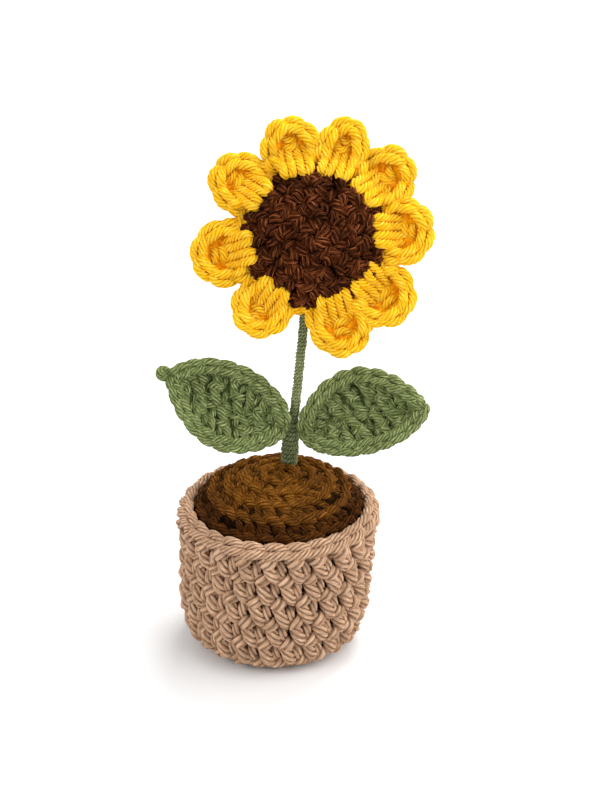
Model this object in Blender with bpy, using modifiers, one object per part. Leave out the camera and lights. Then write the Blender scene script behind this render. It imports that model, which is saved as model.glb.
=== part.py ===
"""A crocheted sunflower in a crocheted pot, about 17 cm tall, as separate solids.

Frame: metres, +Z up, origin at the middle of the pot's flat bottom. The flower faces -Y and up.
Every soft piece is a plain closed solid of the size that the stuffed or crocheted piece has.
"""

from math import cos, pi, radians, sin, sqrt

import bmesh
import bpy
from mathutils import Matrix, Vector

GAP = 0.0003  # clearance between pieces that touch

# Pot: a cup worked in single crochet from a flat round bottom to a braided rim.
POT_HEIGHT = 0.0490
POT_FLAT_RADIUS = 0.0235
POT_EDGE_HEIGHT = 0.0110
POT_BODY_RADIUS = 0.0322
POT_NECK_RADIUS = 0.0312
POT_RIM_RADIUS = 0.0327
POT_RIM_HEIGHT = 0.0055
POT_RIM_HALF_WIDTH = 0.0024
POT_NECK_DROP = 0.0075  # the neck's depth under the rim's top
POT_SHOULDER_Z = 0.0330
POT_BELLY_Z = 0.0240
POT_BELLY_SWELL = 0.0003
POT_WALL = 0.0038
POT_FLOOR = 0.0040
POT_CORNER_INSET = 0.0020  # how much smaller the flat is inside than outside
POT_LEAN = 0.0029  # how far the rim's middle stands to +X of the bottom's middle

# Soil: a domed cap tucked inside the rim.
SOIL_RADIUS = POT_BODY_RADIUS - POT_WALL - GAP
SOIL_EDGE_Z = 0.0420
SOIL_SHOULDER_Z = 0.0465
SOIL_RISE = 0.0152
SOIL_WALL = 0.0032
STUFFING_SLOPE = 0.0010  # the fill's fall from the soil cap's edge to the pot's wall

# Flower head: two round caps back to back round a pad of stuffing.
HEAD_CENTRE = Vector((0.0139, 0.0120, 0.1382))
HEAD_TILT = radians(27)  # the face looks this far up from the horizon
DISC_RADIUS = 0.0228
DISC_WALL = 0.0030
FRONT_RISE = 0.0095
BACK_RISE = 0.0062
DISC_RIM = 0.0016  # half the height of the caps' rounded edge

# Stem: floral wire wound with yarn. Each row is a point and the winding's radius there.
WIRE_RADIUS = 0.00045
STEM = [
    (Vector((0.0062, 0.0090, 0.0570)), 0.00280),
    (Vector((0.0064, 0.0080, 0.0645)), 0.00280),
    (Vector((0.0071, 0.0065, 0.0720)), 0.00230),
    (Vector((0.0079, 0.0056, 0.0788)), 0.00175),
    (Vector((0.0090, 0.0044, 0.0899)), 0.00160),
    (Vector((0.0098, 0.0035, 0.0993)), 0.00155),
    (Vector((0.0107, 0.0026, 0.1090)), 0.00155),
    (Vector((0.0111, 0.0013, 0.1166)), 0.00155),
]
PATH_SPACING = 0.0032  # distance between points on the stem's smooth path
FOOT_RADIUS = 0.0130  # flat ring in the pot that keeps the wire upright
FOOT_Z = 0.0120
FOOT_SWEEP = (-240, 60)  # degrees, open ring
RISE = [  # the wire's bend from the foot ring up to the stem
    Vector((0.0086, 0.0116, 0.0170)),
    Vector((0.0070, 0.0100, 0.0270)),
    Vector((0.0063, 0.0094, 0.0420)),
]
EYE_RADIUS = 0.0045  # small eye bent at the wire's end inside the head
EYE_SWEEP = (-100, 190)
EYE_LEAD = [Vector((-0.0026, -0.0180, 0.0)), Vector((-0.0016, -0.0100, 0.0))]  # in the head's frame

# Leaves: base at the stem, tip, bow of the midrib, half width, how far each edge is cupped.
LEAF_FACING = Vector((0.0, -0.80, 0.60))
LEAF_THICKNESS = 0.0034
LEAF_CUP = 0.0040
LEAF_BASE_HALF_WIDTH = 0.0018
LEAVES = {
    "leaf_left": (Vector((0.0040, 0.0046, 0.0730)), Vector((-0.0350, 0.0010, 0.0956)), 0.0020, 0.0138),
    "leaf_right": (Vector((0.0104, 0.0046, 0.0714)), Vector((0.0508, 0.0010, 0.0826)), 0.0026, 0.0140),
}

# Petals: turn from the head's +X, width and reach from the head's middle.
PETALS = [
    (3, 0.0200, 0.0380),
    (38, 0.0188, 0.0390),
    (70, 0.0176, 0.0386),
    (104, 0.0200, 0.0386),
    (144, 0.0198, 0.0380),
    (188, 0.0210, 0.0386),
    (233, 0.0196, 0.0370),
    (286, 0.0206, 0.0392),
    (319, 0.0206, 0.0386),
]
PETAL_THICKNESS = 0.0054
PETAL_CUP = 0.0022
PETAL_END_CUP = 1.4  # the cup's further lift at the tip, in cups per petal length
PETAL_ROOT_WIDTH = 0.92  # in widths
PETAL_STRAIGHT = 0.45  # share of the length before the round end
PETAL_ROUND = 0.62  # length of the round end, a little past the tip, in petal lengths

BEIGE = (0.52, 0.33, 0.23)
SOIL_BROWN = (0.13, 0.045, 0.008)
DISC_BROWN = (0.075, 0.018, 0.006)
YELLOW = (0.95, 0.47, 0.012)
LEAF_GREEN = (0.15, 0.22, 0.085)
STEM_GREEN = (0.13, 0.20, 0.085)
WHITE = (0.80, 0.80, 0.78)
STEEL = (0.45, 0.45, 0.45)


def clear_scene():
    for old in list(bpy.data.objects):
        bpy.data.objects.remove(old, do_unlink=True)


def collection(name):
    made = bpy.data.collections.new(name)
    bpy.context.scene.collection.children.link(made)
    return made


def material(name, colour, roughness=0.9, metallic=0.0):
    made = bpy.data.materials.new(name)
    made.use_nodes = True
    shader = made.node_tree.nodes["Principled BSDF"]
    shader.inputs["Base Color"].default_value = (*colour, 1.0)
    shader.inputs["Roughness"].default_value = roughness
    shader.inputs["Metallic"].default_value = metallic
    return made


def add_object(name, mesh, group, finish=None):
    made = bpy.data.objects.new(name, mesh)
    group.objects.link(made)
    if finish:
        mesh.materials.append(finish)
        mesh.shade_smooth()
    else:
        made.hide_render = True
        made.display_type = "WIRE"
    return made


def arc(centre, radii, start, end, steps):
    """Points (r, z) on an ellipse round centre, from one angle to another in degrees."""
    turns = [radians(start + (end - start) * i / steps) for i in range(steps + 1)]
    return [(centre[0] + radii[0] * cos(t), centre[1] + radii[1] * sin(t)) for t in turns]


def turned(name, profile, group, finish=None, steps=40):
    """A solid of revolution. The profile of (r, z) points runs down the outer side."""
    mesh = bpy.data.meshes.new(name)
    points = [(r, 0.0, z) for r, z in profile]
    mesh.from_pydata(points, [(i, i + 1) for i in range(len(points) - 1)], [])
    made = add_object(name, mesh, group, finish)
    screw = made.modifiers.new("Turn", "SCREW")
    screw.steps = steps
    screw.render_steps = steps
    screw.use_merge_vertices = True
    screw.merge_threshold = 0.00005
    screw.use_smooth_shade = True
    return made


def leaned(turned_piece):
    """Shears a turned piece sideways with height, as the soft pot leans."""
    frame = Matrix.Identity(4)
    frame[0][2] = POT_LEAN / POT_HEIGHT
    depsgraph = bpy.context.evaluated_depsgraph_get()
    mesh = bpy.data.meshes.new_from_object(turned_piece.evaluated_get(depsgraph))
    mesh.transform(frame)
    turned_piece.modifiers.clear()
    turned_piece.data = mesh
    return turned_piece


def tube(name, points, radii, group, finish=None):
    """A closed mesh tube along points, made from a bevelled curve with welded caps."""
    curve = bpy.data.curves.new(name, "CURVE")
    curve.dimensions = "3D"
    curve.bevel_depth = 1.0
    curve.bevel_resolution = 2
    curve.use_fill_caps = True
    spline = curve.splines.new("POLY")
    spline.points.add(len(points) - 1)
    for target, point, radius in zip(spline.points, points, radii):
        target.co = (*point, 1.0)
        target.radius = radius
    guide = bpy.data.objects.new(name + "_curve", curve)
    group.objects.link(guide)
    depsgraph = bpy.context.evaluated_depsgraph_get()
    mesh = bpy.data.meshes.new_from_object(guide.evaluated_get(depsgraph))
    bpy.data.objects.remove(guide)
    shell = bmesh.new()
    shell.from_mesh(mesh)
    bmesh.ops.remove_doubles(shell, verts=shell.verts, dist=0.00001)
    bmesh.ops.recalc_face_normals(shell, faces=shell.faces)
    shell.to_mesh(mesh)
    shell.free()
    mesh.materials.clear()
    mesh.name = name
    return add_object(name, mesh, group, finish)


def cut(piece, cutter):
    boolean = piece.modifiers.new("Clear " + cutter.name, "BOOLEAN")
    boolean.operation = "DIFFERENCE"
    boolean.solver = "EXACT"
    boolean.object = cutter


def smooth_path(points, spacing):
    """A smooth curve through points, with a point about every spacing."""
    path = []
    for i in range(len(points) - 1):
        before = points[max(i - 1, 0)]
        after = points[min(i + 2, len(points) - 1)]
        start, end = points[i], points[i + 1]
        steps = max(1, round((end - start).length / spacing))
        for k in range(steps):
            t = k / steps
            path.append(
                0.5
                * (
                    2 * start
                    + (end - before) * t
                    + (2 * before - 5 * start + 4 * end - after) * t * t
                    + (3 * start - before - 3 * end + after) * t**3
                )
            )
    return path + [points[-1]]


def head_matrix():
    """The head's frame: +X right, +Y up in the flower's plane, +Z out of its face."""
    return Matrix.Translation(HEAD_CENTRE) @ Matrix.Rotation(pi / 2 - HEAD_TILT, 4, "X")


def wire_points():
    """The wire's path: foot ring in the pot, stem, and the eye inside the head."""
    ring = [Vector((x, y, FOOT_Z)) for x, y in arc((0, 0), (FOOT_RADIUS, FOOT_RADIUS), *FOOT_SWEEP, 18)]
    stem = [point for point, _ in STEM]
    eye = [Vector((x, y, 0.0)) for x, y in arc((0, 0), (EYE_RADIUS, EYE_RADIUS), *EYE_SWEEP, 10)]
    head = head_matrix()
    inside = [head @ point for point in EYE_LEAD + eye]
    return smooth_path(ring + RISE + stem + inside, PATH_SPACING)


def stem_profile():
    """The winding's path and its radius at each point."""
    points = [point for point, _ in STEM]
    path = smooth_path(points, PATH_SPACING)
    radii = []
    for point in path:
        i = max(k for k in range(len(STEM) - 1) if STEM[k][0].z <= point.z + 1e-9)
        low, high = STEM[i], STEM[i + 1]
        share = (point.z - low[0].z) / (high[0].z - low[0].z)
        radii.append(low[1] + (high[1] - low[1]) * share)
    return path, radii


def make_pot(group):
    inner = POT_BODY_RADIUS - POT_WALL
    inner_flat = POT_FLAT_RADIUS - POT_CORNER_INSET
    inner_corner = (inner - inner_flat, POT_EDGE_HEIGHT - POT_FLOOR)
    rim_centre = (POT_RIM_RADIUS - POT_RIM_HALF_WIDTH, POT_HEIGHT - POT_RIM_HEIGHT / 2)
    corner = (POT_BODY_RADIUS - POT_FLAT_RADIUS, POT_EDGE_HEIGHT)
    profile = [(0.0, POT_FLOOR)]
    profile += arc((inner_flat, POT_EDGE_HEIGHT), inner_corner, -90, 0, 5)
    profile += arc(rim_centre, (POT_RIM_HALF_WIDTH, POT_RIM_HEIGHT / 2), 150, -30, 6)
    profile += [(POT_NECK_RADIUS, POT_HEIGHT - POT_NECK_DROP)]
    profile += [(POT_BODY_RADIUS, POT_SHOULDER_Z)]
    profile += [(POT_BODY_RADIUS + POT_BELLY_SWELL, POT_BELLY_Z)]
    profile += arc((POT_FLAT_RADIUS, POT_EDGE_HEIGHT), corner, 0, -90, 5)
    profile += [(0.0, 0.0)]
    pot = turned("pot", profile, group, material("beige_yarn", BEIGE), steps=44)
    return leaned(pot)


def make_soil(group, stem_clearance):
    outer = [(0.0, SOIL_SHOULDER_Z + SOIL_RISE)]
    outer += arc((0.0, SOIL_SHOULDER_Z), (SOIL_RADIUS, SOIL_RISE), 90, 0, 8)[1:]
    outer += [(SOIL_RADIUS, SOIL_EDGE_Z), (SOIL_RADIUS - SOIL_WALL, SOIL_EDGE_Z)]
    inner = arc((0.0, SOIL_SHOULDER_Z), (SOIL_RADIUS - SOIL_WALL, SOIL_RISE - SOIL_WALL), 0, 90, 8)
    profile = outer + inner[:-1] + [(0.0, SOIL_SHOULDER_Z + SOIL_RISE - SOIL_WALL)]
    soil = turned("soil", profile, group, material("soil_yarn", SOIL_BROWN), steps=40)
    leaned(soil)
    cut(soil, stem_clearance)


def make_pot_stuffing(group, wire_clearance, stem_clearance):
    """Fibre fill: it bulges under the soil cap and fills the pot below it."""
    under = SOIL_WALL + GAP
    wall = POT_BODY_RADIUS - POT_WALL - GAP
    flat = POT_FLAT_RADIUS - POT_CORNER_INSET
    corner = (wall - flat, POT_EDGE_HEIGHT - POT_FLOOR - GAP)
    profile = [(0.0, SOIL_SHOULDER_Z + SOIL_RISE - under)]
    profile += arc((0.0, SOIL_SHOULDER_Z), (SOIL_RADIUS - under, SOIL_RISE - under), 90, 0, 6)[1:]
    profile += [(SOIL_RADIUS - under, SOIL_EDGE_Z - GAP)]
    profile += [(wall, SOIL_EDGE_Z - GAP - STUFFING_SLOPE)]
    profile += arc((flat, POT_EDGE_HEIGHT), corner, 0, -90, 4)
    profile += [(0.0, POT_FLOOR + GAP)]
    stuffing = turned("pot_stuffing", profile, group, material("white_fibre_pot", WHITE), steps=32)
    leaned(stuffing)
    cut(stuffing, wire_clearance)
    cut(stuffing, stem_clearance)


def make_stem(group, wire_clearance):
    path, radii = stem_profile()
    winding = tube("stem_winding", path, radii, group, material("stem_yarn", STEM_GREEN))
    cut(winding, wire_clearance)
    wire = wire_points()
    tube("stem_wire", wire, [WIRE_RADIUS] * len(wire), group, material("florist_wire", STEEL, 0.4, 1.0))


def surface_from(name, cells, place, thickness, group, finish):
    """A padded sheet: a grid moved by place(u, v), thickened to both sides and smoothed."""
    mesh = bpy.data.meshes.new(name)
    grid = bmesh.new()
    bmesh.ops.create_grid(grid, x_segments=cells[0], y_segments=cells[1], size=1.0)
    for vertex in grid.verts:
        vertex.co = place((vertex.co.x + 1) / 2, vertex.co.y)
    grid.to_mesh(mesh)
    grid.free()
    made = add_object(name, mesh, group, finish)
    solid = made.modifiers.new("Thickness", "SOLIDIFY")
    solid.thickness = thickness
    solid.offset = 0.0
    soft = made.modifiers.new("Soften", "SUBSURF")
    soft.levels = 1
    soft.render_levels = 1
    return made


def make_leaf(name, group, finish):
    base, tip, bow, half_width = LEAVES[name]
    along = (tip - base).normalized()
    facing = (LEAF_FACING - along * LEAF_FACING.dot(along)).normalized()
    across = facing.cross(along)
    length = (tip - base).length
    narrow = LEAF_BASE_HALF_WIDTH

    def place(u, v):
        width = narrow + (half_width - narrow) * sin(pi * u) ** 0.75
        rise = LEAF_CUP * v * v * sin(pi * u)
        return Vector((u * length, width * v + bow * sin(pi * u), rise))

    leaf = surface_from(name, (10, 6), place, LEAF_THICKNESS, group, finish)
    frame = Matrix((along, across, facing)).transposed().to_4x4()
    leaf.matrix_world = Matrix.Translation(base) @ frame
    return leaf


def petal_limit(index, radius):
    """Half the room that a petal has at a radius before it meets a neighbour."""
    turn = PETALS[index][0]
    following = PETALS[(index + 1) % len(PETALS)][0]
    before = PETALS[index - 1][0]
    gap = min((following - turn) % 360, (turn - before) % 360)
    return radius * sin(radians(gap) / 2) - GAP


def make_petal(index, head, group):
    turn, width, reach = PETALS[index]
    root = DISC_RADIUS + 2 * GAP
    length = reach - root

    def place(u, v):
        radius = root + u * length
        round_end = sqrt(1 - (max(0.0, u - PETAL_STRAIGHT) / PETAL_ROUND) ** 2)
        swell = PETAL_ROOT_WIDTH + (1 - PETAL_ROOT_WIDTH) * sin(pi * u)
        half = min(swell * round_end * width / 2, petal_limit(index, radius))
        cup = PETAL_CUP * (v * v + max(0.0, u - 0.5) * PETAL_END_CUP)
        return Vector((radius, half * v, cup))

    name = f"petal_{index + 1:02d}"
    petal = surface_from(name, (4, 4), place, PETAL_THICKNESS, group, material(name + "_yarn", YELLOW))
    petal.parent = head
    petal.rotation_euler = (0.0, 0.0, radians(turn))


def cap_profile(rise, wall):
    """A round cap from its top, down the outer side, and back up inside."""
    profile = [(0.0, rise)]
    profile += arc((0.0, DISC_RIM), (DISC_RADIUS, rise - DISC_RIM), 90, 0, 7)[1:]
    profile += [(DISC_RADIUS, GAP / 2), (DISC_RADIUS - wall, GAP / 2)]
    profile += arc((0.0, DISC_RIM), (DISC_RADIUS - wall, rise - DISC_RIM - wall), 0, 90, 7)[:-1]
    return profile + [(0.0, rise - wall)]


def make_head(head, group, wire_clearance):
    front = turned("flower_centre", cap_profile(FRONT_RISE, DISC_WALL), group,
                   material("centre_yarn", DISC_BROWN), steps=40)
    back = turned("flower_back", cap_profile(BACK_RISE, DISC_WALL), group,
                  material("back_yarn", DISC_BROWN), steps=40)
    back.rotation_euler = (pi, 0.0, 0.0)
    inside = DISC_WALL + GAP
    profile = [(0.0, FRONT_RISE - inside)]
    profile += arc((0.0, DISC_RIM), (DISC_RADIUS - inside, FRONT_RISE - DISC_RIM - inside), 90, 0, 6)[1:]
    profile += arc((0.0, -DISC_RIM), (DISC_RADIUS - inside, BACK_RISE - DISC_RIM - inside), 0, -90, 6)[:-1]
    profile += [(0.0, -BACK_RISE + inside)]
    stuffing = turned("head_stuffing", profile, group, material("white_fibre_head", WHITE), steps=32)
    for piece in (front, back, stuffing):
        piece.parent = head
        cut(piece, wire_clearance)
    for index in range(len(PETALS)):
        make_petal(index, head, group)


def main():
    clear_scene()
    parts = collection("crocheted_sunflower")
    cutters = collection("cutters")
    head = bpy.data.objects.new("head_frame", None)
    head.matrix_world = head_matrix()
    parts.objects.link(head)

    wire = wire_points()
    wire_clearance = tube("wire_clearance", wire, [WIRE_RADIUS + GAP] * len(wire), cutters)
    path, radii = stem_profile()
    stem_clearance = tube("stem_clearance", path, [radius + GAP for radius in radii], cutters)

    make_pot(parts)
    make_soil(parts, stem_clearance)
    make_pot_stuffing(parts, wire_clearance, stem_clearance)
    make_stem(parts, wire_clearance)
    make_leaf("leaf_left", parts, material("left_leaf_yarn", LEAF_GREEN))
    make_leaf("leaf_right", parts, material("right_leaf_yarn", LEAF_GREEN))
    make_head(head, parts, wire_clearance)


main()
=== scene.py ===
"""The looks of a crocheted sunflower in a crocheted pot.

Every visible piece is modelled as the yarn that it is made of. A stitch is a short list of control
points, and rounds or runs of stitches are laid on the surface that the piece has, relaxed, and swept
with a twisted cross-section of several plies. Lengths are in mm until a mesh is made.
"""

from math import cos, pi, radians, sin, sqrt

import bmesh
import bpy
import numpy as np
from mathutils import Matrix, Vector, noise


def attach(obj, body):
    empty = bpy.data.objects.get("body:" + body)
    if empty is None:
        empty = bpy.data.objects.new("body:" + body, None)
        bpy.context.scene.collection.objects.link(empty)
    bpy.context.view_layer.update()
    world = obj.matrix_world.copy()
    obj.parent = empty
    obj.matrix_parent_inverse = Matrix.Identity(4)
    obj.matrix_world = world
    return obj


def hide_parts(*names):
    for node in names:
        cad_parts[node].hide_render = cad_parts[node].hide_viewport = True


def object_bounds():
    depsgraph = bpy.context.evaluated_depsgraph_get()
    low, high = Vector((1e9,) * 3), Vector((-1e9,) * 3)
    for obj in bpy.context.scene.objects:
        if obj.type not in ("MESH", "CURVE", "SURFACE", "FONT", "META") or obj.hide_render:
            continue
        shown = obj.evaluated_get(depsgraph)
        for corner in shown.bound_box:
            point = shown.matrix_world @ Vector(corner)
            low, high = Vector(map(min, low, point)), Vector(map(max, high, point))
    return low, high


MM = 0.001
UP = np.array((0.0, 0.0, 1.0))

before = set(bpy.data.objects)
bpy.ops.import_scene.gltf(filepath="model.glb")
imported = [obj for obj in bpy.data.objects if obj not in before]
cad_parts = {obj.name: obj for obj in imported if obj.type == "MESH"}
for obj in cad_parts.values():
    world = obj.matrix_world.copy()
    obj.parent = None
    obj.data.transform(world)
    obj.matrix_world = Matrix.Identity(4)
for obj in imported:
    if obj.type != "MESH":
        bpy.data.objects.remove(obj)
cad_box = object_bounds()


# ---- yarn

# A loose fibre is a three-sided spike: two rings of three vertices, and a tip.
HAIR_RADIUS = 0.035
HAIR_LENGTHS = (0.5, 1.7)
HAIR_DEPTH = 0.1  # how far its root lies in the strand
HAIR_LEAN = 0.55  # spread of its direction, as a share of its length
HAIR_BEND = 0.5  # spread of its bend at the middle
HAIR_RISE = 0.4  # how much its outer half still points outward
HAIR_VERTS = 7
HAIR_FACES = [
    (0, 2, 1), (0, 1, 4), (0, 4, 3), (1, 2, 5), (1, 5, 4),
    (2, 0, 3), (2, 3, 5), (3, 4, 6), (4, 5, 6), (5, 3, 6),
]

# a strand's colour is darkened from PROUD down to SUNK size, as painted shade in the depths of the fabric
SUNK = 0.86  # size of strands that lie deep in the fabric, in shade
PROUD = 0.97  # size of strands that lie proud of it
FLATTENED = 0.6  # yarn lower than this many mm above the table is pressed flat
STRAND_SHIFT = 31.0  # mm between the fibre patterns of two strands
HAIR_TONES = 90.0  # mm of fibre pattern that loose fibres take their tones from

# corners of the map that the ends of strands and the loose fibres share
CAP_CORNER = 0.999
HAIR_CORNER = 0.998


class Yarn:
    """One kind of yarn: radius and twist in mm, number of plies, and its material."""

    SIDES_PER_PLY = 3  # one side in the groove between two plies, and two over the ply
    SWELL = 1.15  # how far neighbouring plies press into each other

    def __init__(self, radius, plies, pitch, finish, step=0.5, relax=0.7, rough=0.035, fuzz=0.8):
        self.radius = radius
        self.plies = plies
        self.pitch = pitch  # length of one full turn of the plies
        self.finish = finish
        self.sides = self.SIDES_PER_PLY * plies
        self.step = step  # distance between two rings of the swept mesh
        self.relax = relax  # how far a bend is rounded off
        self.rough = rough  # unevenness of the surface, as a share of the radius
        self.fuzz = fuzz  # loose fibres for each mm

    def turns(self):
        """The angle of each side; the first one is in a groove."""
        return np.arange(self.sides) * 2 * pi / self.sides + pi / self.plies

    def section(self):
        """The radius of the cross-section at each side: round plies set in a ring."""
        ply = pi / self.plies
        off = (self.turns() + ply) % (2 * ply) - ply
        ring = 1 / (1 + sin(ply) * self.SWELL)
        small = 1 - ring
        reach = ring * np.cos(off) + np.sqrt(np.maximum(small**2 - (ring * np.sin(off)) ** 2, 0.0))
        return reach * self.radius

    def crest(self):
        """0 in each groove and 1 on each ply, side by side."""
        marks = np.ones(self.sides)
        marks[:: self.SIDES_PER_PLY] = 0.0
        return marks


def smooth(points, closed, passes):
    """Moves each point towards its neighbours' middle, a few times."""
    for _ in range(passes):
        before, after = np.roll(points, 1, axis=0), np.roll(points, -1, axis=0)
        moved = points * 0.5 + (before + after) * 0.25
        if not closed:
            moved[0], moved[-1] = points[0], points[-1]
        points = moved
    return points


def spline(controls, closed, dense=8):
    """Catmull-Rom points through the controls."""
    if closed:
        before, after, last = (np.roll(controls, k, axis=0) for k in (1, -1, -2))
        spans = len(controls)
    else:
        first, end = 2 * controls[0] - controls[1], 2 * controls[-1] - controls[-2]
        padded = np.vstack([first, controls, end])
        before, controls, after, last = padded[:-3], padded[1:-2], padded[2:-1], padded[3:]
        spans = len(controls)
    shares = (np.arange(dense) / dense)[None, :, None]
    p0, p1, p2, p3 = (block[:spans, None, :] for block in (before, controls, after, last))
    points = 0.5 * (
        2 * p1
        + (p2 - p0) * shares
        + (2 * p0 - 5 * p1 + 4 * p2 - p3) * shares**2
        + (3 * p1 - p0 - 3 * p2 + p3) * shares**3
    )
    points = points.reshape(-1, controls.shape[1])
    if not closed:
        points = np.vstack([points, after[-1]])
    return points


def even(points, closed, step):
    """The same curve with points at even distances of about step."""
    if closed:
        points = np.vstack([points, points[:1]])
    lengths = np.linalg.norm(np.diff(points[:, :3], axis=0), axis=1)
    along = np.concatenate([[0.0], np.cumsum(lengths)])
    count = max(4, int(round(along[-1] / step)))
    targets = np.linspace(0.0, along[-1], count + 1)
    if closed:
        targets = targets[:-1]
    return np.stack([np.interp(targets, along, column) for column in points.T], axis=1)


def carried(normal, tangent, step, next_tangent):
    """A normal carried without twist over one step of a curve, by double reflection."""
    size = step @ step
    mirrored = normal - 2 / size * (step @ normal) * step
    turned = tangent - 2 / size * (step @ tangent) * step
    change = next_tangent - turned
    size = change @ change
    if size < 1e-12:
        return mirrored
    return mirrored - 2 / size * (change @ mirrored) * change


def frames_along(points, closed):
    """Tangents and untwisted normals along a curve."""
    ahead = np.roll(points, -1, axis=0)
    behind = np.roll(points, 1, axis=0)
    if not closed:
        ahead[-1], behind[0] = points[-1], points[0]
    tangents = ahead - behind
    tangents /= np.linalg.norm(tangents, axis=1)[:, None]
    side = UP if abs(tangents[0][2]) < 0.9 else np.array((1.0, 0.0, 0.0))
    normal = np.cross(tangents[0], side)
    normal /= np.linalg.norm(normal)
    normals = [normal]
    for i in range(1, len(points)):
        normal = carried(normal, tangents[i - 1], points[i] - points[i - 1], tangents[i])
        normals.append(normal)
    return tangents, np.array(normals)


def sweep(points, sizes, yarn, closed):
    """The rings of one strand, its lengths, and how many sides a closed strand's end is turned by."""
    tangents, normals = frames_along(points, closed)
    binormals = np.cross(tangents, normals)
    lengths = np.linalg.norm(np.diff(points, axis=0), axis=1)
    along = np.concatenate([[0.0], np.cumsum(lengths)])
    twist = -2 * pi * along / yarn.pitch
    shift = 0
    if closed:
        gap = points[0] - points[-1]
        end = carried(normals[-1], tangents[-1], gap, tangents[0])
        off = np.arctan2(end @ binormals[0], end @ normals[0])
        ply = 2 * pi / yarn.plies
        total = -2 * pi * (along[-1] + np.linalg.norm(gap)) / yarn.pitch
        wanted = round((total + off) / ply) * ply - off
        twist *= wanted / total
        shift = int(round((wanted + off) / (2 * pi / yarn.sides))) % yarn.sides
    angles = yarn.turns()[None, :] + twist[:, None]
    uneven = np.random.default_rng(len(points)).normal(size=(len(points), yarn.sides))
    reach = yarn.section()[None, :] * sizes[:, None] * (1 + yarn.rough * uneven)
    rings = points[:, None, :] + (
        normals[:, None, :] * (reach * np.cos(angles))[:, :, None]
        + binormals[:, None, :] * (reach * np.sin(angles))[:, :, None]
    )
    return rings, along, shift


def hairs(rings, centres, yarn, rng):
    """Loose fibre ends on a strand: thin three-sided spikes that lean out of it."""
    count = int(len(centres) * yarn.step * yarn.fuzz)
    picked = rng.integers(0, len(centres), count), rng.integers(0, yarn.sides, count)
    roots = rings[picked]
    out = roots - centres[picked[0]]
    out /= np.linalg.norm(out, axis=1)[:, None]
    lean = rng.normal(size=(count, 3)) * HAIR_LEAN
    length = rng.uniform(*HAIR_LENGTHS, count)[:, None]
    middles = roots + (out + lean) * length * 0.5
    bend = rng.normal(size=(count, 3)) * HAIR_BEND
    tips = middles + (out * HAIR_RISE + lean + bend) * length * 0.5
    side = np.cross(out, rng.normal(size=(count, 3)))
    side /= np.linalg.norm(side, axis=1)[:, None]
    across = np.cross(out, side)
    corners = [(cos(2 * pi * k / 3), sin(2 * pi * k / 3)) for k in range(3)]
    verts = []
    for middle, radius in ((roots - out * HAIR_DEPTH, HAIR_RADIUS), (middles, HAIR_RADIUS * 0.8)):
        verts += [middle + (side * c + across * s) * radius for c, s in corners]
    verts.append(tips)
    faces = np.array(HAIR_FACES)[None] + HAIR_VERTS * np.arange(count)[:, None, None]
    return np.stack(verts, axis=1).reshape(-1, 3), faces.reshape(-1, 3)


def strand_quads(count, sides, closed, shift):
    """Corner numbers of the quads between a strand's rings."""
    rings = np.arange(count if closed else count - 1)
    after = (rings + 1) % count
    k = np.arange(sides)
    k_next = (k + 1) % sides
    wrap = np.where(after == 0, shift, 0)
    a = rings[:, None] * sides + k[None, :]
    b = rings[:, None] * sides + k_next[None, :]
    c = after[:, None] * sides + (k_next[None, :] - wrap[:, None]) % sides
    d = after[:, None] * sides + (k[None, :] - wrap[:, None]) % sides
    return np.stack([a, b, c, d], axis=2).reshape(-1, 4)


def strand_uv(rings, placed, sides, per_row, rows):
    """Map corners of a strand's quads: a long strip that is folded into rows."""
    place = placed + np.arange(rings)
    row, column = place // per_row, place % per_row
    k = np.arange(sides)
    margin = 0.05
    v0 = (row[:, None] + margin + (1 - 2 * margin) * k[None, :] / sides) / rows
    v1 = (row[:, None] + margin + (1 - 2 * margin) * (k[None, :] + 1) / sides) / rows
    u0 = np.broadcast_to((column / (per_row + 1))[:, None], v0.shape)
    u1 = np.broadcast_to(((column + 1) / (per_row + 1))[:, None], v0.shape)
    corners = [np.stack(pair, 2) for pair in ((u0, v0), (u0, v1), (u1, v1), (u1, v0))]
    return np.stack(corners, axis=2).reshape(-1, 2)


def rested(heights):
    """Heights of yarn that is pressed flat where it rests on the table."""
    return np.where(heights > FLATTENED, heights, FLATTENED * np.exp(heights / FLATTENED - 1))


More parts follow.
